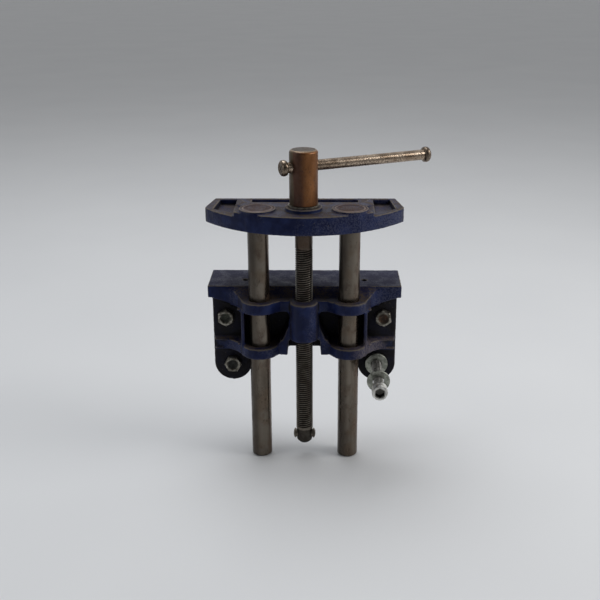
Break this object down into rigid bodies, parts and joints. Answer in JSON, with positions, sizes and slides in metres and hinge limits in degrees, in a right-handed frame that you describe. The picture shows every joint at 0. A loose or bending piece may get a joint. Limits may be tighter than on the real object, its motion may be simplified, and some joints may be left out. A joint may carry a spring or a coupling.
{
  "type": "bench vise",
  "caption": "Plain screw bench vise with two guide rods, a D-shaped sliding jaw, a ribbed fixed jaw casting, a sliding bar handle and its mounting bolts.",
  "frame": {"origin": "on the screw's axis, level with the lower ends of the guide rods that it stands on", "axes": "+Z along the screw towards the handle, +Y towards the bench side of the jaws, +X to the right seen from the rods' side"},
  "size_m": [0.2074, 0.1128, 0.2974],
  "materials": {
    "blue_enamel": "worn blue enamel on grey cast iron, dusty and chipped",
    "rod_steel": "bare steel with brown stains and wear streaks",
    "screw_steel": "dark oily steel",
    "browned_steel": "brown patinated steel",
    "nickel_plate": "flaking nickel plate",
    "zinc_plate": "dull zinc plate",
    "bolt_steel": "dull grey steel with rusty tops"
  },
  "bodies": {
    "fixed_jaw": {"rear_jaw_casting": "blue_enamel", "mounting_bolt_upper_left": "bolt_steel", "mounting_nut_upper_left": "bolt_steel", "mounting_bolt_upper_right": "bolt_steel", "mounting_nut_upper_right": "bolt_steel", "mounting_bolt_lower_left": "bolt_steel", "mounting_nut_lower_left": "bolt_steel", "long_cap_screw": "zinc_plate", "cap_screw_nut": "bolt_steel", "seated_washer_back": "zinc_plate", "seated_washer_front": "zinc_plate"},
    "sliding_jaw": {"front_jaw_casting": "blue_enamel", "guide_rod_left": "rod_steel", "guide_rod_right": "rod_steel"},
    "screw": {"lead_screw": "screw_steel", "end_stop_pin": "screw_steel", "screw_head": "browned_steel", "thrust_washer": "zinc_plate", "retaining_ring": "zinc_plate"},
    "handle": {"handle_bar": "nickel_plate", "handle_cap_inner": "nickel_plate", "handle_cap_outer": "nickel_plate"},
    "loose_washer": {"loose_washer": "zinc_plate"}
  },
  "joints": [
    {"name": "jaw_slide", "type": "slide", "parent": "fixed_jaw", "child": "sliding_jaw", "axis": [0, 0, 1], "range_m": [-0.05816, 0.0965]},
    {"name": "screw_turn", "type": "hinge", "parent": "sliding_jaw", "child": "screw", "pos_m": [0, 0, 0.25], "axis": [0, 0, 1], "range_deg": [-4950, 8210]},
    {"name": "handle_slide", "type": "slide", "parent": "screw", "child": "handle", "axis": [0.9063, 0.4226, 0], "range_m": [-0.1069, 0.0029]},
    {"name": "loose_washer_slide", "type": "slide", "parent": "fixed_jaw", "child": "loose_washer", "axis": [0, -1, 0], "range_m": [-0.0365, 0.0155]}
  ],
  "couplings": [
    {"joint": "screw_turn", "follows": "jaw_slide", "rad_per_m": 1484.2}
  ]
}
